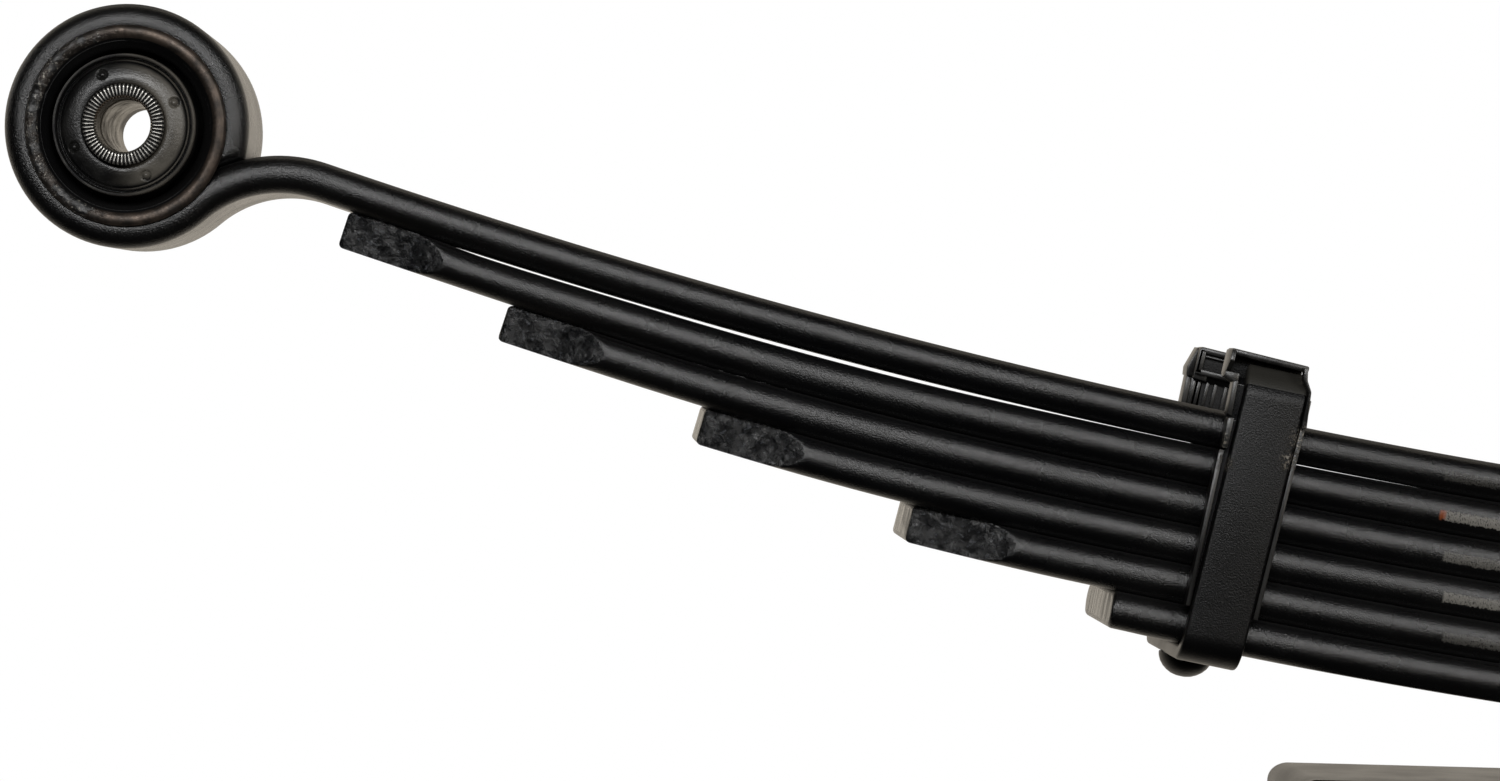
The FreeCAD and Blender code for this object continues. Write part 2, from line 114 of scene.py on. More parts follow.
def bridged(index, angle):
    """How much of the gap above a leaf is closed by paint and dirt.

    Just behind its tip the second leaf stands further off instead.
    """
    if index < 0:
        return 0.0
    if index > 0:
        return FILL * gap_above(index, angle)
    share = FIRST_FILL - FIRST_FILL_LOST * smooth_step((angle - CLIP_TILT) / FIRST_FILL_FADE)
    sprung = smooth_step((angle - SPRUNG_FROM) / SPRUNG_RISE)
    sprung *= 1 - smooth_step((angle - SPRUNG_TO) / SPRUNG_FALL)
    return share * gap_above(index, angle) - SPRUNG_DROP * sprung


def leaf_stations(index, start, stop, step):
    """(point, direction, distance run, lift of the top, share of the thickness)."""
    count = max(2, round((stop - start) / step))
    out = []
    for i in range(count + 1):
        reach = start + (stop - start) * i / count
        ahead = leaf_point(index, reach + 0.01) - leaf_point(index, reach - 0.01)
        lift = bridged(index, (reach - SEAT_HALF) / RADIUS)
        out.append((leaf_point(index, reach), ahead.normalized(), reach, lift, 1.0))
    return out


def arc_stations(centre, radius, start, stop, run, step, share=lambda angle: 1.0):
    """Stations round an arc from one polar angle to another."""
    count = max(2, round(abs(stop - start) * radius / step))
    turn = 1 if stop > start else -1
    out = []
    for i in range(count + 1):
        angle = start + (stop - start) * i / count
        spoke = Vector((math.cos(angle), math.sin(angle)))
        ahead = Vector((-spoke.y, spoke.x)) * turn
        out.append((centre + spoke * radius, ahead, run + abs(angle - start) * radius, 0.0,
                    share(angle)))
    return out


def eye_stations(start):
    """The main leaf from a reach to the free end of its rolled eye."""
    camber = RADIUS + THICK / 2
    apart = EYE - CENTRE
    far, near = camber + NECK, ROLL + NECK
    foot = (far**2 - near**2 + apart.length**2) / (2 * apart.length)
    lift = math.sqrt(far**2 - foot**2)
    ahead = apart.normalized()
    neck = CENTRE + ahead * foot + Vector((ahead.y, -ahead.x)) * lift
    to_neck = math.atan2(neck.y - CENTRE.y, neck.x - CENTRE.x)
    to_eye = math.atan2(EYE.y - neck.y, EYE.x - neck.x)
    neck_reach = SEAT_HALF + (to_neck + math.pi / 2) * RADIUS
    out = leaf_stations(-1, start, neck_reach, LEAF_STEP)
    bend = arc_stations(neck, NECK, to_neck + math.pi, to_eye, out[-1][2], EYE_STEP)
    roll = arc_stations(EYE, ROLL, to_eye + math.pi, ROLL_END, bend[-1][2], EYE_STEP)

    def wedge(angle):
        """The rolled end is pinched thin where it lies on the neck's top face."""
        spoke = Vector((math.cos(angle), math.sin(angle)))
        along = spoke.dot(neck - EYE)
        reach = along - math.sqrt(along**2 - near**2 + (NECK + THICK / 2) ** 2) - 0.15
        return min(1.0, (reach - ROLL + THICK / 2) / THICK)

    pinch = arc_stations(EYE, ROLL, ROLL_END, ROLL_END + WEDGE_TURN, roll[-1][2], WEDGE_STEP,
                         wedge)
    return out + bend[1:] + roll[1:] + pinch[1:]


# ------------------------------------------------------------------ mesh helpers

def piece(name, points, faces, materials, slots=None, uvs=None, crease=34.0):
    """A mesh object from millimetre points, shaded smooth up to a crease angle."""
    mesh = bpy.data.meshes.new(name)
    mesh.from_pydata([Vector(p) * MM for p in points], [], faces)
    for material in materials:
        mesh.materials.append(material)
    if slots:
        mesh.polygons.foreach_set("material_index", slots)
    if uvs:
        layer = mesh.uv_layers.new(name="Run")
        for loop in mesh.loops:
            layer.data[loop.index].uv = uvs[loop.vertex_index]
    grid = bmesh.new()
    grid.from_mesh(mesh)
    bmesh.ops.recalc_face_normals(grid, faces=grid.faces)
    grid.to_mesh(mesh)
    grid.free()
    mesh.shade_smooth()
    mesh.set_sharp_from_angle(angle=math.radians(crease))
    made = bpy.data.objects.new(name, mesh)
    scene.collection.objects.link(made)
    return made


def loft(rings):
    """Points and faces of a tube through closed rings, with both ends capped."""
    size = len(rings[0])
    points = [p for ring in rings for p in ring]
    faces = []
    for r in range(len(rings) - 1):
        for i in range(size):
            j = (i + 1) % size
            faces.append((r * size + i, r * size + j, (r + 1) * size + j, (r + 1) * size + i))
    faces.append(tuple(range(size)))
    faces.append(tuple((len(rings) - 1) * size + i for i in range(size)))
    return points, faces


def bar_section(half_width, half_thick, bulge, arc=20, flat=6):
    """A rounded-edge bar: (across, up) points in a loop."""
    inner = half_width - bulge
    loop = []
    for side in (1, -1):
        for i in range(arc + 1):
            angle = math.pi * (i / arc - 0.5)
            loop.append((side * (inner + bulge * math.cos(angle)),
                         side * half_thick * math.sin(angle)))
        for i in range(1, flat):
            loop.append((side * inner * (1 - 2 * i / flat), side * half_thick))
    return loop


SECTION = bar_section(HALF_WIDTH, THICK / 2, EDGE_BULGE)
# a sheared corner: its length, how much of that is at full depth, the depth, half the
# width that it leaves there and how much more it takes at the tip
CUT_LONG, CUT_FULL = 28.0, 19.0
CUT_DEPTH, CUT_WIDTH, CUT_TAPER = 3.9, 26.1, 1.5
TIP_ROUND = 1.4


def cut_limit(to_tip):
    """Half the width that the sheared corners leave, this far from the tip."""
    if to_tip > CUT_FULL:
        return HALF_WIDTH - CUT_DEPTH * (CUT_LONG - to_tip) / (CUT_LONG - CUT_FULL)
    return CUT_WIDTH - CUT_TAPER * (1 - to_tip / CUT_FULL)


def torn(run, to_tip, rise, seed):
    """Relief of a sheared corner: rough, then a crescent, then a smoother facet."""
    broad = noise.noise(Vector((run * 0.30 + seed, rise * 0.24, seed)))
    fine = noise.noise(Vector((run * 0.95, rise * 0.8 + seed, seed)))
    crescent = CUT_FULL - 1.4 - 0.05 * (rise - 2.5) ** 2
    sink = 0.55 * math.exp(-((to_tip - crescent) / 1.3) ** 2) * smooth_step((3.2 - rise) / 2)
    if to_tip > CUT_FULL:
        streaks = noise.noise(Vector((run * 2.2, rise * 0.15, seed)))
        return 0.10 * broad + 0.16 * streaks * smooth_step((to_tip - 22) / 3) - sink
    return 0.24 * broad + 0.16 * fine - sink


def leaf_mesh(name, way, stations, paint, tip=None, lean=None, seed=0.0):
    """A stretch of leaf. `tip` is the run at which it ends cut, if it does.

    `lean` is the slope of its sheared corners, or None where they were left on.
    """
    rings, uvs, cut = [], [], []
    for at, ahead, run, lift, share in stations:
        up = Vector((-ahead.y, ahead.x))
        to_tip = (tip - run) if tip is not None else 1e9
        shrink = 0.0
        if to_tip < TIP_ROUND:
            shrink = TIP_ROUND - math.sqrt(max(0.0, TIP_ROUND**2 - (TIP_ROUND - to_tip) ** 2))
        ring = []
        for across, rise in SECTION:
            side = 1 if across > 0 else -1
            was_cut = False
            if lean is not None and to_tip < CUT_LONG + 1:
                limit = cut_limit(to_tip) - lean * rise
                if abs(across) > limit:
                    across = side * (limit + torn(run, to_tip, rise, seed + 7.0 * side))
                    was_cut = True
            across -= side * shrink * 0.5
            rise *= 1 - shrink * 2 / THICK
            rise = THICK / 2 - (THICK / 2 - rise) * share + lift * smooth_step(0.5 + rise / THICK)
            spot = at + up * rise
            ring.append((way * spot.x, across, spot.y))
            uvs.append((run * MM, rise * MM))
            cut.append(was_cut)
        rings.append(ring)
    points, faces = loft(rings)
    slots = [1 if all(cut[i] for i in face) else 0 for face in faces]
    slots[-2] = 0
    slots[-1] = 2 if tip is not None else 0
    return piece(name, points, faces, [paint, sheared_paint, sawn_paint], slots, uvs)


def tip_stations(index, start, stop):
    """Wide steps along the leaf, then fine ones where its end is cut."""
    fine = stop - CUT_LONG - 2
    sharp = stop - 0.3
    body = leaf_stations(index, start, fine, LEAF_STEP)
    tip = leaf_stations(index, fine, stop - TIP_ROUND, 0.75)
    last = leaf_stations(index, stop - TIP_ROUND, sharp, 0.28)
    end = leaf_stations(index, sharp, stop, 0.1)
    return body + tip[1:] + last[1:] + end[1:]


def lathe(name, centre, profile, count, materials, shape=None, slots=None, crease=34.0):
    """Revolve a closed (radius, across) outline about the eye's own axis.

    `shape` may move a point, given its radius, how far across it is and its turn.
    `slots` picks a face's material from its place in the outline and its step round.
    """
    points, faces, face_slots = [], [], []
    size = len(profile)
    for t in range(count):
        turn = 2 * math.pi * t / count
        for i, (radius, across) in enumerate(profile):
            if shape:
                radius, across = shape(radius, across, turn)
            points.append((centre[0] + radius * math.cos(turn), centre[1] + across,
                           centre[2] + radius * math.sin(turn)))
    for t in range(count):
        n = (t + 1) % count
        for i in range(size):
            j = (i + 1) % size
            faces.append((t * size + i, t * size + j, n * size + j, n * size + i))
            face_slots.append(slots(i, t) if slots else 0)
    return piece(name, points, faces, materials, face_slots, crease=crease)


# --------------------------------------------------------------------- materials

class Nodes:
    """A small builder for one material's node tree."""

    def __init__(self, name):
        self.material = bpy.data.materials.new(name)
        self.material.use_nodes = True
        self.tree = self.material.node_tree
        self.tree.nodes.clear()
        self.shader = self.add("ShaderNodeBsdfPrincipled")
        out = self.add("ShaderNodeOutputMaterial")
        self.link(self.shader.outputs[0], out.inputs[0])
        self.coords = self.add("ShaderNodeTexCoord")
        self.space = self.coords.outputs["Object"]

    def add(self, kind, **values):
        node = self.tree.nodes.new(kind)
        for key, value in values.items():
            setattr(node, key, value)
        return node

    def link(self, source, target):
        self.tree.links.new(source, target)

    def put(self, socket, value):
        if hasattr(value, "is_linked"):
            self.link(value, socket)
        else:
            socket.default_value = value

    def stretched(self, x, y, z):
        node = self.add("ShaderNodeMapping")
        self.link(self.space, node.inputs["Vector"])
        node.inputs["Scale"].default_value = (x, y, z)
        return node.outputs[0]

    def noise(self, scale, detail=3.0, rough=0.55, source=None, distortion=0.0):
        node = self.add("ShaderNodeTexNoise")
        self.link(source or self.space, node.inputs["Vector"])
        node.inputs["Scale"].default_value = scale
        node.inputs["Detail"].default_value = detail
        node.inputs["Roughness"].default_value = rough
        node.inputs["Distortion"].default_value = distortion
        return node.outputs[0]

    def cells(self, scale):
        node = self.add("ShaderNodeTexVoronoi", feature="F1")
        self.link(self.space, node.inputs["Vector"])
        node.inputs["Scale"].default_value = scale
        return node.outputs["Distance"]

    def math(self, operation, a, b=0.0):
        node = self.add("ShaderNodeMath", operation=operation)
        for socket, value in zip(node.inputs, (a, b)):
            self.put(socket, value)
        return node.outputs[0]

    def remap(self, value, low, high, to_low=0.0, to_high=1.0):
        node = self.add("ShaderNodeMapRange", interpolation_type="SMOOTHSTEP")
        for socket, item in zip(node.inputs, (value, low, high, to_low, to_high)):
            self.put(socket, item)
        return node.outputs[0]

    def mix(self, factor, a, b):
        node = self.add("ShaderNodeMix", data_type="RGBA")
        self.put(node.inputs[0], factor)
        self.put(node.inputs[6], a)
        self.put(node.inputs[7], b)
        return node.outputs[2]

    def axis(self, which, source=None):
        node = self.add("ShaderNodeSeparateXYZ")
        self.link(source or self.space, node.inputs[0])
        return node.outputs[which]

    def bump(self, height, strength, distance, under=None):
        node = self.add("ShaderNodeBump")
        node.inputs["Strength"].default_value = strength
        node.inputs["Distance"].default_value = distance
        self.link(height, node.inputs["Height"])
        if under:
            self.link(under, node.inputs["Normal"])
        return node.outputs[0]

    def apart(self, point):
        """Distance from a point of the object, in metres."""
        node = self.add("ShaderNodeVectorMath", operation="DISTANCE")
        self.link(self.space, node.inputs[0])
        node.inputs[1].default_value = point
        return node.outputs["Value"]

    def chipped(self, color, normal, nicks):
        """Flake the finish off around each (point, radius)."""
        for at, radius in nicks:
            flakes = self.remap(self.noise(1400.0, 4.0, 0.7), 0.49, 0.57)
            chip = self.math("MULTIPLY", self.remap(self.apart(at), radius, radius * 0.3), flakes)
            color = self.mix(self.math("MULTIPLY", chip, 0.9), color, (0.20, 0.18, 0.15, 1))
            normal = self.bump(chip, 0.6, 0.0006, normal)
        return color, normal

    def finish(self, color, rough, metal=None, normal=None, specular=None):
        for socket, value in (("Base Color", color), ("Roughness", rough), ("Metallic", metal),
                              ("Normal", normal), ("Specular IOR Level", specular)):
            if value is not None:
                self.put(self.shader.inputs[socket], value)
        return self.material


def black_paint(name, grain=0.5, tone=1.0, gloss=0.27, specular=0.5, rub=None, nicks=(),
                dust=0.0, thin=(0.0013, 0.0014, 0.0017), thick=(0.0032, 0.0031, 0.0031)):
    """Thin black chassis paint, pebbled at the edges, with a few light specks.

    `dust` makes the faces that point up more matt. `rub` is (where it starts along
    the leaf, how bare, how rusty) for a leaf whose near edge has been scraped.
    `nicks` are (point, radius) of chipped spots; `thin` and `thick` are its shades.
    """
    n = Nodes(name)
    pebble = n.noise(2400.0, 2.0, 0.6)
    broad = n.noise(9.0, 4.0, 0.6)
    specks = n.remap(n.cells(520.0), 0.09, 0.04)
    low, high = ([share * tone for share in shades] + [1] for shades in (thin, thick))
    color = n.mix(n.remap(broad, 0.35, 0.7), low, high)
    color = n.mix(n.math("MULTIPLY", specks, 0.35), color, (0.03, 0.03, 0.03, 1))
    top = n.remap(n.axis(2, n.coords.outputs["Normal"]), 0.70, 0.97)
    rough = n.remap(n.noise(60.0, 3.0), 0.3, 0.7, gloss - 0.03, gloss + 0.04)
    rough = n.math("ADD", rough, n.math("MULTIPLY", top, dust))
    height = n.math("MULTIPLY", pebble, n.remap(top, 0.0, 1.0, 1.0, 0.25))
    normal = n.bump(height, grain, 0.00032)
    if rub:
        start, bare, rusty = rub
        run, rise = n.axis(0, n.coords.outputs["UV"]), n.axis(1, n.coords.outputs["UV"])
        near_side = n.remap(n.axis(1), -0.020, -0.026)
        streaks = n.noise(1.0, 3.0, 0.7, n.stretched(3000.0, 60.0, 1500.0))
        ragged = n.math("MULTIPLY", n.math("SUBTRACT", n.noise(1500.0, 2.0), 0.5), 0.0014)
        reach = n.math("MULTIPLY", n.remap(run, start, start - 0.0008),
                       n.remap(run, 0.298, 0.312))
        edge = n.math("ABSOLUTE", n.math("ADD", n.math("ADD", rise, 0.0004), ragged))
        band = n.math("MULTIPLY", n.remap(edge, 0.0015, 0.0011), near_side)
        scrape = n.math("MULTIPLY", n.math("MULTIPLY", reach, band),
                        n.remap(streaks, 0.36, 0.50))
        color = n.mix(n.math("MULTIPLY", scrape, bare), color, (0.15, 0.142, 0.125, 1))
        spot = n.math("ABSOLUTE", n.math("SUBTRACT", run, start))
        rust = n.math("MULTIPLY", n.remap(spot, 0.0012, 0.0004), n.remap(edge, 0.0016, 0.0007))
        color = n.mix(n.math("MULTIPLY", n.math("MULTIPLY", rust, near_side), rusty), color,
                      (0.22, 0.05, 0.012, 1))
        rough = n.math("ADD", rough, n.math("MULTIPLY", scrape, 0.3 * bare))
    color, normal = n.chipped(color, normal, nicks)
    return n.finish(color, rough, normal=normal, specular=specular)


def sheared_finish():
    """Painted shear marks on the leaf tips: torn hollows with painted glints as light flecks, in
    patches of more gloss.
    """
    n = Nodes("sheared_paint")
    hollows = n.noise(430.0, 5.0, 0.65, distortion=0.5)
    fine = n.noise(1500.0, 3.0)
    normal = n.bump(hollows, 0.7, 0.0014)
    normal = n.bump(fine, 0.5, 0.0004, normal)
    color = n.mix(n.remap(hollows, 0.3, 0.7), (0.0014, 0.0015, 0.0018, 1),
                  (0.004, 0.0042, 0.0047, 1))
    # painted glints: narrow light flecks standing in for crisp highlights on the torn ridges
    painted_glints = n.remap(n.noise(650.0, 4.0, 0.65, n.stretched(1.0, 1.0, 1.6)), 0.58, 0.66)
    color = n.mix(painted_glints, color, (0.045, 0.048, 0.053, 1))
    shine = n.remap(n.noise(210.0, 3.0, 0.5, distortion=0.9), 0.36, 0.60, 0.14, 0.52)
    return n.finish(color, n.remap(hollows, 0.3, 0.7, 0.22, 0.30), normal=normal, specular=shine)


def sawn_finish():
    """The leaf ends: painted thinly over straight shear marks that run up them."""
    n = Nodes("sawn_paint")
    lines = n.noise(1.0, 3.0, 0.6, n.stretched(40.0, 1100.0, 70.0))
    broad = n.noise(1.0, 2.0, 0.5, n.stretched(20.0, 300.0, 25.0))
    streak = n.remap(n.math("ADD", lines, n.math("MULTIPLY", broad, 0.6)), 0.70, 0.86)
    color = n.mix(streak, (0.006, 0.006, 0.006, 1), (0.05, 0.046, 0.04, 1))
    rough = n.remap(streak, 0.0, 1.0, 0.42, 0.20)
    return n.finish(color, rough, normal=n.bump(lines, 0.3, 0.0003))


def liner_finish():
    """Moulded black plastic with a faint matt skin, chipped where the clip is."""
    n = Nodes("liner_plastic")
    skin = n.noise(2400.0, 2.0)
    flow = n.noise(1.0, 3.0, 0.5, n.stretched(220.0, 220.0, 35.0))
    color = n.mix(n.remap(flow, 0.35, 0.7), (0.006, 0.0059, 0.0056, 1),
                  (0.014, 0.0135, 0.0125, 1))
    color, normal = n.chipped(color, n.bump(skin, 0.22, 0.00015), NICKS)
    return n.finish(color, n.remap(flow, 0.3, 0.7, 0.28, 0.42), normal=normal)


def rubber_finish(name="bush_rubber", tone=1.0):
    """Moulded rubber, with a beige painted highlight on the near collar's side that faces the
    spring's middle.
    """
    n = Nodes(name)
    skin = n.noise(1700.0, 3.0)
    bloom = n.noise(130.0, 4.0, 0.6)
    color = n.mix(n.remap(bloom, 0.35, 0.72), (0.003 * tone, 0.003 * tone, 0.0032 * tone, 1),
                  (0.009 * tone, 0.0088 * tone, 0.0082 * tone, 1))
    inward = n.remap(n.math("ABSOLUTE", n.axis(0)), EYE.x * MM + 0.005, EYE.x * MM - 0.008)
    raised = n.remap(n.axis(1), -0.0332, -0.0340)
    painted_collar_highlight = n.math("MULTIPLY", n.math("MULTIPLY", inward, raised),
                   n.remap(bloom, 0.25, 0.6, 0.5, 1.0))
    # painted highlight: light beige on the near collar towards the spring's middle, standing in
    # for light on the rubber
    color = n.mix(painted_collar_highlight, color, (0.085, 0.078, 0.066, 1))
    normal = n.bump(skin, 0.3, 0.0003)
    return n.finish(color, n.remap(bloom, 0.3, 0.7, 0.28, 0.40), normal=normal, specular=0.45)


def flange_finish():
    """Thinly painted steel flange: bronze where bare, black and flaking on one side."""
    n = Nodes("sleeve_steel")
    blotch = n.noise(230.0, 5.0, 0.65)
    fine = n.noise(1400.0, 3.0, 0.6)
    flake = n.cells(420.0)
    bronze = n.mix(n.remap(blotch, 0.35, 0.68), (0.078, 0.060, 0.048, 1), (0.026, 0.022, 0.019, 1))
    ragged = n.math("MULTIPLY", n.math("SUBTRACT", blotch, 0.5), 0.03)
    side = n.remap(n.math("ADD", n.axis(0), ragged), -0.694, -0.701)
    worn = n.math("MULTIPLY", side, n.remap(blotch, 0.66, 0.46))
    color = n.mix(worn, bronze, (0.004, 0.004, 0.004, 1))
    flecks = n.math("MULTIPLY", side, n.remap(n.noise(1050.0, 4.0, 0.7), 0.57, 0.64))
    color = n.mix(flecks, color, (0.16, 0.15, 0.13, 1))
    metal = n.remap(worn, 0.0, 1.0, 0.75, 0.05)
    rough = n.remap(fine, 0.3, 0.7, 0.36, 0.52)
    normal = n.bump(fine, 0.22, 0.0002)
    normal = n.bump(n.math("MULTIPLY", flake, worn), 0.5, 0.0006, normal)
    return n.finish(color, rough, metal, normal)


def steel_finish(name, clean, stain, stains_at=0.55, mouth=0.0):
    """Machined steel with turning marks and brown stains, more of them at a bore's mouth."""
    n = Nodes(name)
    blotch = n.noise(170.0, 5.0, 0.68)
    marks = n.noise(1.0, 2.0, 0.5, n.stretched(90.0, 2600.0, 90.0))
    if mouth:
        depth = n.math("ABSOLUTE", n.axis(1))
        upper = n.remap(n.axis(2), EYE.y * MM - 0.002, EYE.y * MM + 0.006)
        near = n.math("MULTIPLY", n.remap(depth, 0.020, 0.036), upper)
        blotch = n.math("ADD", blotch, n.math("MULTIPLY", near, mouth))
    color = n.mix(n.remap(blotch, stains_at, stains_at + 0.22), clean, stain)
    rough = n.remap(blotch, 0.3, 0.8, 0.30, 0.56)
    metal = n.remap(blotch, stains_at, stains_at + 0.22, 0.85, 0.15)
    return n.finish(color, rough, metal, n.bump(marks, 0.18, 0.0002))


# chipped spots on the front clip: (point, radius) in metres
NICKS = [((-0.4005, -0.036, 0.1070), 0.0035), ((-0.3985, -0.036, 0.1010), 0.003),
         ((-0.3785, -0.0365, 0.1075), 0.0055), ((-0.3815, -0.0373, 0.1020), 0.0040)]
# where each leaf's scrape starts along it, how bare it is and how rusty
RUBS = {
    "main_leaf": (0.3405, 0.15, 0.0),
    "second_leaf": (0.3387, 1.0, 0.75),
    "third_leaf": (0.3370, 0.55, 0.0),
    "fourth_leaf": (0.3352, 0.9, 0.0),
    "fifth_leaf": (0.3335, 0.3, 0.0),
    "sixth_leaf": None,
}
leaf_paints = {leaf: black_paint(f"{leaf}_paint", rub=rub, dust=0.36)
               for leaf, rub in RUBS.items()}
strap_paint = black_paint("strap_paint", grain=0.35, tone=0.8, gloss=0.33, specular=0.24,
                          nicks=NICKS)
# a beige paint about ten times lighter than the strap's: a painted reflection on the strap's
# bent-in ends
strap_end_painted_reflection = black_paint("strap_end_painted_reflection", grain=0.3, gloss=0.42,
                              thin=(0.022, 0.021, 0.018), thick=(0.034, 0.032, 0.027))
overload_paint = black_paint("overload_paint", grain=0.3, tone=1.6, gloss=0.36)
sheared_paint = sheared_finish()
sawn_paint = sawn_finish()
liner_plastic = liner_finish()
bush_rubber = rubber_finish()
# a lighter copy of the rubber: a painted highlight on the lip's crest
lip_highlight_rubber = rubber_finish("lip_highlight_rubber", 9.0)
# a darker, low-specular black: painted shade in recesses, the eye's throat, the teeth's valleys
# and the liner's walls
painted_recess_shade = black_paint("painted_recess_shade", tone=1.5, gloss=0.5, specular=0.2)
sleeve_steel = flange_finish()
core_steel = steel_finish("core_steel", (0.20, 0.185, 0.155, 1), (0.05, 0.034, 0.021, 1),
                          mouth=0.4)
serration_steel = steel_finish("serration_steel", (0.42, 0.41, 0.38, 1),
                               (0.06, 0.055, 0.05, 1), 0.5)
bolt_steel = steel_finish("bolt_steel", (0.21, 0.205, 0.195, 1), (0.10, 0.055, 0.03, 1), 0.6)


# ------------------------------------------------------------------------- leaves

# a leaf that ends less than this beyond the clip is drawn in one piece
SHORT_END = 60


def bends(made, outer):
    """Bake a stretch of leaf's transform into its mesh, whether it is an outer stretch or not."""
    if outer:
        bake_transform(made)
    else:
        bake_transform(made)


for end, way in ENDS.items():
    outer = eye_stations(CLIP_REACH)
    inner = leaf_stations(-1, 0.0, CLIP_REACH, LEAF_STEP)
    paint = leaf_paints["main_leaf"]
    made = [
        (leaf_mesh(f"main_leaf_{end}_inner", way, inner, paint), "main_leaf", False),
        (leaf_mesh(f"main_leaf_{end}_outer", way, outer, paint, outer[-1][2]), "main_leaf", True),
    ]
    for index, (label, reach, _, _) in enumerate(GRADUATED):
        seed = 11.3 * index + 3.7 * way
        paint = leaf_paints[label]
        if reach - CLIP_REACH < SHORT_END:
            whole = leaf_mesh(f"{label}_{end}", way, tip_stations(index, 0.0, reach), paint, reach)
            made.append((whole, label, False))
            continue
        inner = leaf_stations(index, 0.0, CLIP_REACH, LEAF_STEP)
        outer = tip_stations(index, CLIP_REACH, reach)
        made.append((leaf_mesh(f"{label}_{end}_inner", way, inner, paint), label, False))
        tipped = leaf_mesh(f"{label}_{end}_outer", way, outer, paint, reach, SHEAR_LEAN[label],
                           seed)
        made.append((tipped, label, True))
    for obj, node, is_outer in made:
        bends(obj, is_outer)
        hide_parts(node)


# -------------------------------------------------------------------- eye bushes

# teeth round the inner sleeve's end, drawn steps in each, and their depth
CORE_TEETH, TOOTH_STEPS, TOOTH_DEPTH = 60, 8, 0.75


def core_shape(radius, across, turn):
    """Radial teeth cut in both faces of the inner sleeve."""
    if abs(across) > 37.4 and 7.4 < radius < 10.7:
        saw = abs((turn * CORE_TEETH / (2 * math.pi)) % 1.0 - 0.5) * 2
        sink = TOOTH_DEPTH * smooth_step((0.72 - saw) / 0.5)
        return radius, across - math.copysign(sink, across)
    return radius, across


PIPS = [math.radians(a) for a in (25.6, 115.0, 205.5, 295.0)]
PIP_CIRCLE = 14.55


def pip_shape(radius, across, turn):
    """Four small pips, each in a shallow ring, on the near face's collar."""
    if across < -33 and 12.5 < radius < 16.45:
        for pip in PIPS:
            apart = math.hypot(radius * math.cos(turn) - PIP_CIRCLE * math.cos(pip),
                               radius * math.sin(turn) - PIP_CIRCLE * math.sin(pip))
            if apart < 1.45:
                moat = math.exp(-((apart - 1.12) / 0.26) ** 2) * 0.62
                dome = 0.45 * max(0.0, 1 - (apart / 0.85) ** 2)
                return radius, across + moat - dome
    return radius, across


def flange_shape(radius, across, turn):
    """The flange is rolled a little unevenly, with one fold on its outer side."""
    if across < -30.2 and radius > 22:
        wave = 0.10 * noise.noise(Vector((math.cos(turn) * 4, math.sin(turn) * 4, radius * 0.3)))
        fold = math.exp(-((turn - math.radians(160)) / 0.035) ** 2) * 0.45
        step = 0.22 * smooth_step((turn - math.radians(90)) / 0.05) if turn < math.pi else 0.22
        if turn > math.radians(300):
            step *= 1 - smooth_step((turn - math.radians(300)) / 0.6)
        return radius, across + wave + fold + step * (0.5 if radius > 25 else 1.0)
    return radius, across


def filled(profile, step, fine=None):
    """The same closed outline with points no further apart than `step`, or a third
    of a millimetre where `fine` says so."""
    out = []
    for (r0, y0), (r1, y1) in zip(profile, profile[1:] + profile[:1]):
        limit = 0.33 if fine and fine(r0, y0) else step
        parts = max(1, math.ceil(math.hypot(r1 - r0, y1 - y0) / limit))
        out += [(r0 + (r1 - r0) * i / parts, y0 + (y1 - y0) * i / parts) for i in range(parts)]
    return out


def lip(middle, half, base, height, steps=8):
    """A rounded ring standing on the rubber's face, as (radius, across) points."""
    return [(middle - half * math.cos(math.pi * i / steps),
             base + height * math.sin(math.pi * i / steps)) for i in range(steps + 1)]


def rubber_profile():
    """The rubber's closed outline: collar, raised lip, deep recess and bonded rim."""
    face = [(10.80, 34.2), (11.1, 34.6), (11.6, 34.75), (12.4, 34.75), (13.2, 34.65),
            (14.0, 34.45), (14.8, 34.2), (15.5, 33.9), (16.1, 33.5), (16.5, 33.1)]
    face += lip(17.0, 0.33, 32.9, 1.0) + [(17.5, 32.5), (17.75, 32.6)]
    face += lip(18.4, 0.55, 33.6, 1.9)
    face += [(18.95, 32.0), (18.95, 26.0), (19.1, 22.5), (19.6, 20.9), (20.40, 20.0)]
    near = [(r, -y) for r, y in face]
    return [(10.80, 0.0)] + near + [(20.40, 0.0)] + face[::-1]


def core_profile():
    """The inner sleeve's closed outline, with its bore narrower in the middle."""
    face = [(7.25, 30.0), (7.25, 37.2), (7.65, 37.8), (8.0, 38.0), (8.6, 38.0), (9.2, 38.0),
            (9.8, 38.0), (10.2, 38.0), (10.5, 37.8), (10.75, 37.3), (10.75, 36.0), (10.75, 30.0)]
    near = [(r, -y) for r, y in face]
    return ([(7.12, 0.0), (7.12, -24.0), (7.25, -24.4)] + near + [(10.75, 0.0)] + face[::-1]
            + [(7.25, 24.4), (7.12, 24.0)])


SLEEVE = [(22.45, 30.0), (22.45, -30.08), (26.3, -30.1), (26.68, -30.35), (26.7, -30.8),
          (26.45, -31.3), (25.9, -31.65), (25.2, -31.8), (24.4, -31.8), (23.7, -31.6),
          (23.15, -31.1), (22.6, -30.3), (21.9, -29.2), (21.2, -28.3), (20.6, -27.6),
          (20.45, -26.5), (20.45, 29.6), (20.8, 30.0)]

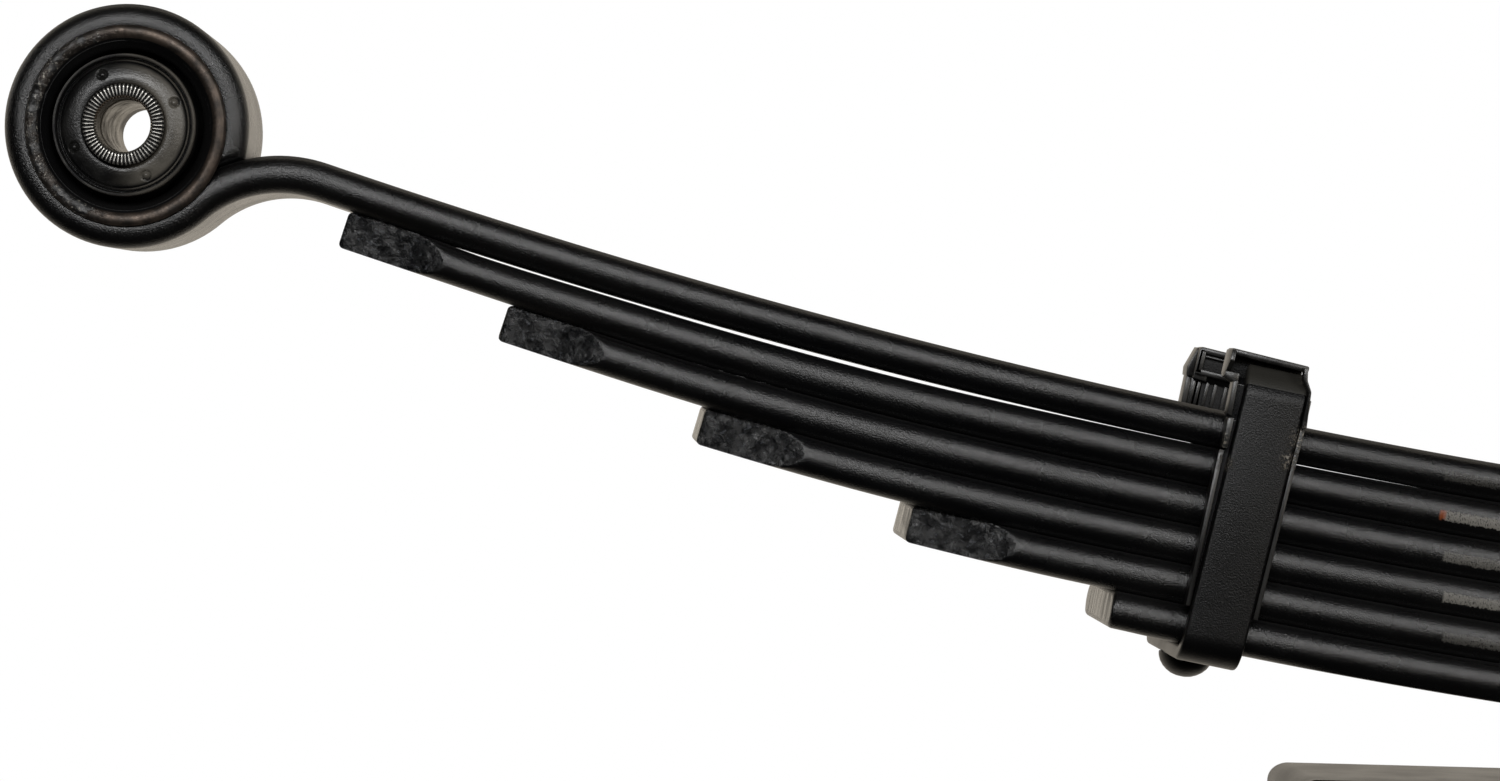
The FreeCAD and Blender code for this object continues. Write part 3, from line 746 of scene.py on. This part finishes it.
for end, way in ENDS.items():
    centre = (way * EYE.x, 0.0, EYE.y)
    outline = filled(SLEEVE, 3.0)
    # the throat inside the flange is dark in painted shade
    inside = [radius < 23.25 and across < 29 for radius, across in outline]
    sleeve = lathe(f"{end}_sleeve", centre, outline, 256, [sleeve_steel, painted_recess_shade],
                   flange_shape, lambda i, t: int(inside[i]))
    outline = filled(rubber_profile(), 2.5, lambda r, y: y < -33 and 12 < r < 16.4)
    # the lip's crest takes the lighter rubber, a painted highlight ring
    crest = [abs(across) > 35.1 and 18.1 < radius < 18.75 for radius, across in outline]
    rubber = lathe(f"{end}_rubber", centre, outline, 288, [bush_rubber, lip_highlight_rubber],
                   pip_shape, lambda i, t: int(crest[i]), crease=50)
    outline = filled(core_profile(), 4.0)
    teeth = [abs(across) > 36 and radius > 7.4 for radius, across in outline]
    # the teeth's valleys take painted shade, their crests bright steel
    core = lathe(f"{end}_core_sleeve", centre, outline, CORE_TEETH * TOOTH_STEPS,
                 [core_steel, serration_steel, painted_recess_shade], core_shape,
                 lambda i, t: (1 + (2 <= t % TOOTH_STEPS < 6)) if teeth[i] else 0)
    for obj, node, body, finish in (
            (sleeve, "bush_sleeve", "eye", "sleeve_steel"),
            (rubber, "bush_rubber", "eye", "bush_rubber"),
            (core, "bush_core", "core", "core_steel")):
        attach(obj, f"{end}_{body}")
        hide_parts(f"{end}_{node}")


# ----------------------------------------------------------------- rebound clips

CLIP_FOOT = Vector((399.2, 51.0))
# the clip's slope towards the eye, the height about which it leans, and how far out
# of the strap's middle line its rivet sits
LEAN, LEAN_PIVOT = 0.040, 31.0
RIVET_OUT = 1.8


def clip_point(way, u, v, w):
    """From the clip's own frame: u out along the spring, v across, w up from the leaf."""
    u -= LEAN * (w - LEAN_PIVOT)
    x = CLIP_FOOT.x + u * math.cos(CLIP_TILT) - w * math.sin(CLIP_TILT)
    z = CLIP_FOOT.y + u * math.sin(CLIP_TILT) + w * math.cos(CLIP_TILT)
    return way * x, v, z


def rounded_loop(half_u, half_t, radius, steps=4):
    """A rounded rectangle as (u, thickness) points."""
    loop = []
    for su, st, start in ((1, 1, 0), (-1, 1, 90), (-1, -1, 180), (1, -1, 270)):
        for i in range(steps + 1):
            a = math.radians(start + 90 * i / steps)
            loop.append((su * (half_u - radius) + radius * math.cos(a),
                         st * (half_t - radius) + radius * math.sin(a)))
    return loop


def strap_line():
    """(v, w, direction) along the strap's middle, from one bent-in end to the other."""
    half = []
    bend, leg, floor, top, end = 6.0, 35.3, -2.05, 67.6, 4.6
    for i in range(8):
        half.append((29.3 * i / 8, floor, 0.0))
    for i in range(11):
        a = math.radians(-90 + 9 * i)
        half.append((leg - bend + bend * math.cos(a), floor + bend + bend * math.sin(a),
                     a + math.pi / 2))
    for i in range(1, 24):
        w = floor + bend + (top - floor - bend) * i / 24
        half.append((leg + 0.7 * math.sin(math.pi * i / 24), w, math.pi / 2))
    for i in range(13):
        a = math.radians(52) * i / 12
        half.append((leg - bend + bend * math.cos(a), top + bend * math.sin(a), a + math.pi / 2))
    v, w, way = half[-1]
    for i in range(1, 5):
        half.append((v + end * i / 4 * math.cos(way), w + end * i / 4 * math.sin(way), way))
    other = [(-v, w, -a) for v, w, a in half[:0:-1]]
    return other + half


def strap_mesh(name, way):
    """The U-shaped strap; its bent-in ends take a lighter beige paint, a painted reflection of the
    light from above.
    """
    rings = []
    line = strap_line()
    for number, (v, w, a) in enumerate(line):
        from_end = min(number, len(line) - 1 - number)
        narrow = 0.5 if from_end == 0 else 0.0
        across = (math.sin(a), -math.cos(a))
        ring = []
        for u, t in rounded_loop(8.15 - narrow, 2.0 - narrow, 0.9 - narrow):
            ring.append(clip_point(way, u + 0.6, v + t * across[0], w + t * across[1]))
        rings.append(ring)
    points, faces = loft(rings)
    size = len(rings[0])
    # the bent-in ends and the end caps get the painted reflection
    bent_in = [min(i // size, len(line) - 2 - i // size) < 10 for i in range(len(faces) - 2)]
    slots = [int(b) for b in bent_in] + [1, 1]
    return piece(name, points, faces, [strap_paint, strap_end_painted_reflection], slots)


def slab(grid, way, side, outline, low, high, bevel, across=False, slot=0, climb=0.0):
    """Add a bevelled plate to the grid.

    The outline is (v, w) and runs from `low` to `high` along u; with `across` it is
    (u, w) and runs along v. `climb` is how fast it rises outwards.
    """
    made = []
    for level in (low, high):
        corners = [(a, level, b) if across else (level, a, b) for a, b in outline]
        made.append([grid.verts.new(Vector(clip_point(way, u, side * v, w + climb * u)) * MM)
                     for u, v, w in corners])
    near, far = made
    faces = [grid.faces.new(near), grid.faces.new(far[::-1])]
    for i in range(len(outline)):
        j = (i + 1) % len(outline)
        faces.append(grid.faces.new((near[i], far[i], far[j], near[j])))
    bmesh.ops.recalc_face_normals(grid, faces=faces)
    for face in faces:
        face.material_index = slot
    edges = {e for f in faces for e in f.edges}
    bmesh.ops.bevel(grid, geom=list(edges), offset=bevel * MM, segments=2, profile=0.5,
                    affect="EDGES", clamp_overlap=True)


def box(a0, a1, b0, b1):
    """A rectangle's outline for a slab."""
    return [(a0, b0), (a1, b0), (a1, b1), (a0, b1)]


def liner_mesh(name, way, side):
    """One moulded channel: a wall, two rims beside the strap and a hooked head."""
    grid = bmesh.new()
    wide = 12.2 if side < 0 else 14.3
    in_v = [
        # the head: its lid, its deep end wall and the frame of its inner window
        (box(25.9, 34.2, 77.3, 79.0), -6.8, 14.2, 0.5, 0),
        ([(25.9, 71.9), (31.0, 71.2), (34.6, 73.4), (37.2, 75.6), (36.4, 78.6), (25.9, 78.6)],
         13.2, 14.5, 0.35, 0),
        (box(25.9, 27.0, 71.4, 72.9), -6.3, 14.4, 0.3, 0),
        (box(25.9, 27.0, 76.3, 76.9), -6.0, 12.6, 0.2, 0),
        (box(25.9, 27.0, 71.6, 78.4), 12.5, 14.4, 0.3, 0),
        (box(25.9, 27.0, 71.6, 78.4), -6.3, -4.6, 0.3, 0),
        # the pieces in slot 1 are dark in painted shade
        (box(27.3, 28.0, 71.2, 78.0), -6.0, 14.0, 0.15, 1),
        ([(27.5, 71.4), (29.8, 69.6), (31.6, 69.6), (29.4, 72.2)], -9.0, wide - 0.6, 0.2, 1),
        # the wall along the leaf edges, dark in painted shade
        (box(30.4, 33.1, 10.6, 61.0), -9.0, 9.9, 0.2, 1),
        (box(30.4, 32.2, 60.5, 70.6), -9.0, wide - 0.8, 0.2, 1),
    ]
    for outline, low, high, bevel, slot in in_v:
        climb = 0.04 if outline[0][1] > 71 else 0.0
        slab(grid, way, side, outline, low, high, bevel, slot=slot, climb=climb)
    for u in (wide - 1.0, 11.1 if side < 0 else 11.9, 9.6, 7.3, 4.4, 1.5, -1.4, -4.3, -7.0):
        slab(grid, way, side, box(29.7, 30.7, 63.4, 70.2), u - 0.45, u + 0.45, 0.2)
    in_u = [
        # the outer side's rims, from the head down
        ([(14.5, 71.9), (14.5, 73.4), (10.6, 73.4), (10.4, 70.2), (wide, 70.6)], 27.6, 33.5, 0.35),
        ([(wide, 71.0), (wide - 0.4, 62.2), (10.3, 61.8), (10.9, 71.6)], 30.4, 36.0, 0.35),
        ([(11.4, 61.3), (10.9, 53.1), (9.5, 53.3), (9.7, 61.6)], 30.5, 36.9, 0.35),
        ([(11.5, 52.6), (10.1, 10.6), (8.85, 10.6), (10.1, 52.8)], 30.4, 35.7, 0.3),
        # the inner side's rim, with the swelling beside the strap's bend
        ([(-9.3, 62.6), (-9.3, 10.6), (-8.0, 10.6), (-8.0, 62.6)], 30.4, 35.7, 0.3),
        ([(-6.0, 78.2), (-6.6, 75.0), (-8.3, 72.2), (-9.4, 62.3), (-8.0, 62.3), (-7.6, 72.0),
          (-5.4, 75.0), (-5.0, 78.2)], 33.9, 37.6, 0.35),
        ([(-9.4, 62.0), (-9.2, 70.0), (-8.0, 70.0), (-8.0, 62.0)], 30.4, 35.4, 0.3),
    ]
    if side > 0:
        in_u.append(([(14.6, 79.4), (16.4, 73.4), (16.1, 71.0), (14.2, 71.0)], 29.0, 37.8, 0.3))
        in_u.append(([(15.8, 71.5), (15.5, 62.4), (14.0, 62.4), (14.2, 71.5)], 30.4, 37.0, 0.3))
    for outline, low, high, bevel in in_u:
        slab(grid, way, side, outline, low, high, bevel, across=True)
    mesh = bpy.data.meshes.new(name)
    grid.to_mesh(mesh)
    grid.free()
    mesh.materials.append(liner_plastic)
    mesh.materials.append(painted_recess_shade)
    mesh.shade_smooth()
    mesh.set_sharp_from_angle(angle=math.radians(38))
    made = bpy.data.objects.new(name, mesh)
    scene.collection.objects.link(made)
    return made


def rivet_mesh(name, way):
    """The rivet's domed head under the strap, with its shank up into the sixth leaf."""
    rings = []
    for radius, w in [(4.0, 9.5), (4.0, -3.9), (7.2, -4.0), (7.25, -4.4), (7.0, -5.3), (6.4, -6.5),
                      (5.4, -7.7), (4.2, -8.6), (2.8, -9.3), (1.3, -9.65), (0.3, -9.7)]:
        ring = [(radius * math.cos(math.pi * i / 24), radius * math.sin(math.pi * i / 24))
                for i in range(48)]
        rings.append([clip_point(way, u + RIVET_OUT, v, w) for u, v in ring])
    points, faces = loft(rings)
    return piece(name, points, faces, [strap_paint], crease=50)


for end, way in ENDS.items():
    rivet = rivet_mesh(f"{end}_rivet", way)
    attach(rivet, f"{end}_clip")
    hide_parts(f"{end}_clip_rivet")
    strap = strap_mesh(f"{end}_strap", way)
    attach(strap, f"{end}_clip")
    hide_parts(f"{end}_clip_strap")
    for hand, side in (("left", 1), ("right", -1)):
        liner = liner_mesh(f"{end}_liner_{hand}", way, side)
        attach(liner, f"{end}_clip")
        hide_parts(f"{end}_clip_liner_{hand}")


# -------------------------------------------------- the nodes that stay as they are

for node, material in (("overload_leaf", overload_paint), ("overload_spacer", overload_paint),
                       ("centre_bolt", bolt_steel), ("centre_nut", bolt_steel)):
    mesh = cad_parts[node].data
    mesh.materials.clear()
    mesh.materials.append(material)


# ------------------------------------------------------------ floor, light, camera

FLOOR_LEVEL, FLOOR_HALF = -0.0085, 40


def studio_floor():
    """A plain pale floor that only the camera sees, and only from above."""
    mesh = bpy.data.meshes.new("floor")
    grid = bmesh.new()
    bmesh.ops.create_grid(grid, x_segments=1, y_segments=1, size=FLOOR_HALF)
    grid.to_mesh(mesh)
    grid.free()
    material = bpy.data.materials.new("pale_floor")
    material.use_nodes = True
    tree = material.node_tree
    tree.nodes.clear()
    add, link = tree.nodes.new, tree.links.new
    glow, clear = add("ShaderNodeEmission"), add("ShaderNodeBsdfTransparent")
    sides = add("ShaderNodeNewGeometry")
    mix, out = add("ShaderNodeMixShader"), add("ShaderNodeOutputMaterial")
    glow.inputs["Color"].default_value = (1, 1, 1, 1)
    link(sides.outputs["Backfacing"], mix.inputs[0])
    link(glow.outputs[0], mix.inputs[1])
    link(clear.outputs[0], mix.inputs[2])
    link(mix.outputs[0], out.inputs[0])
    mesh.materials.append(material)
    made = bpy.data.objects.new("floor", mesh)
    made.location.z = FLOOR_LEVEL
    scene.collection.objects.link(made)
    made.visible_diffuse = made.visible_glossy = made.visible_shadow = False
    made.visible_transmission = False


def softbox(name, at, aim, width, height, power, color=(1, 1, 1)):
    """A rectangular lamp at one place in metres, turned towards another."""
    data = bpy.data.lights.new(name, "AREA")
    data.shape = "RECTANGLE"
    data.size, data.size_y = width, height
    data.energy, data.color = power, color
    lamp = bpy.data.objects.new(name, data)
    lamp.location = at
    lamp.rotation_mode = "QUATERNION"
    lamp.rotation_quaternion = (Vector(aim) - Vector(at)).to_track_quat("-Z", "Y")
    scene.collection.objects.link(lamp)
    lamp.visible_camera = False


def backdrop():
    """White behind the spring and dark before it, as in a light tent open in front."""
    world = bpy.data.worlds.new("studio")
    scene.world = world
    world.use_nodes = True
    tree = world.node_tree
    tree.nodes.clear()
    add, link = tree.nodes.new, tree.links.new
    coords, split = add("ShaderNodeTexCoord"), add("ShaderNodeSeparateXYZ")
    link(coords.outputs["Generated"], split.inputs[0])
    ramp = add("ShaderNodeMapRange")
    ramp.interpolation_type = "SMOOTHSTEP"
    link(split.outputs[1], ramp.inputs[0])
    for socket, value in zip(list(ramp.inputs)[1:5], (0.05, 0.55, 0.006, 0.76)):
        socket.default_value = value
    tint = add("ShaderNodeCombineColor")
    for socket, share in zip(tint.inputs, (1.0, 0.91, 0.78)):
        scaled = add("ShaderNodeMath")
        scaled.operation = "MULTIPLY"
        link(ramp.outputs[0], scaled.inputs[0])
        scaled.inputs[1].default_value = share
        link(scaled.outputs[0], socket)
    seen, lit = add("ShaderNodeBackground"), add("ShaderNodeBackground")
    seen.inputs[0].default_value = (1, 1, 1, 1)
    link(tint.outputs[0], lit.inputs[0])
    path, mix = add("ShaderNodeLightPath"), add("ShaderNodeMixShader")
    out = add("ShaderNodeOutputWorld")
    link(path.outputs["Is Camera Ray"], mix.inputs[0])
    link(lit.outputs[0], mix.inputs[1])
    link(seen.outputs[0], mix.inputs[2])
    link(mix.outputs[0], out.inputs[0])


studio_floor()
backdrop()
softbox("key_strip", (-0.86, -2.2, 0.96), (-0.86, 0, 0.10), 1.92, 0.40, 35)
softbox("key_left", (-0.70, -2.15, 0.99), (-0.70, 0, 0.10), 0.36, 0.30, 3.0)
softbox("key_right", (1.7, -2.2, 0.96), (1.7, 0, 0.10), 1.6, 0.40, 28)
softbox("front_fill", (0.10, -2.2, 0.42), (-0.3, 0, 0.10), 0.5, 0.3, 0.9)
softbox("left_end", (-2.9, 0.8, 1.0), (-0.6, 0, 0.12), 1.2, 0.8, 2.4)
softbox("right_end", (2.9, 0.8, 1.0), (0.6, 0, 0.12), 1.2, 0.8, 2.4)
softbox("collar_glow", (0.75, -2.0, 0.30), (-0.69, 0, 0.18), 0.55, 0.7, 5, (1, 0.92, 0.80))
scene.view_settings.view_transform = "Standard"

camera = bpy.data.objects.new("camera", bpy.data.cameras.new("camera"))
scene.collection.objects.link(camera)
camera.data.sensor_width = 36.0
camera.data.lens = 110.4
camera.data.shift_x, camera.data.shift_y = 0.1147, -0.045
camera.data.clip_start, camera.data.clip_end = 0.05, 200.0
camera.matrix_world = (Matrix.Translation((-0.570, -1.247, 0.1335))
                       @ Matrix.Rotation(math.radians(90), 4, "X")
                       @ Matrix.Rotation(0.026, 4, "Z"))
scene.camera = camera
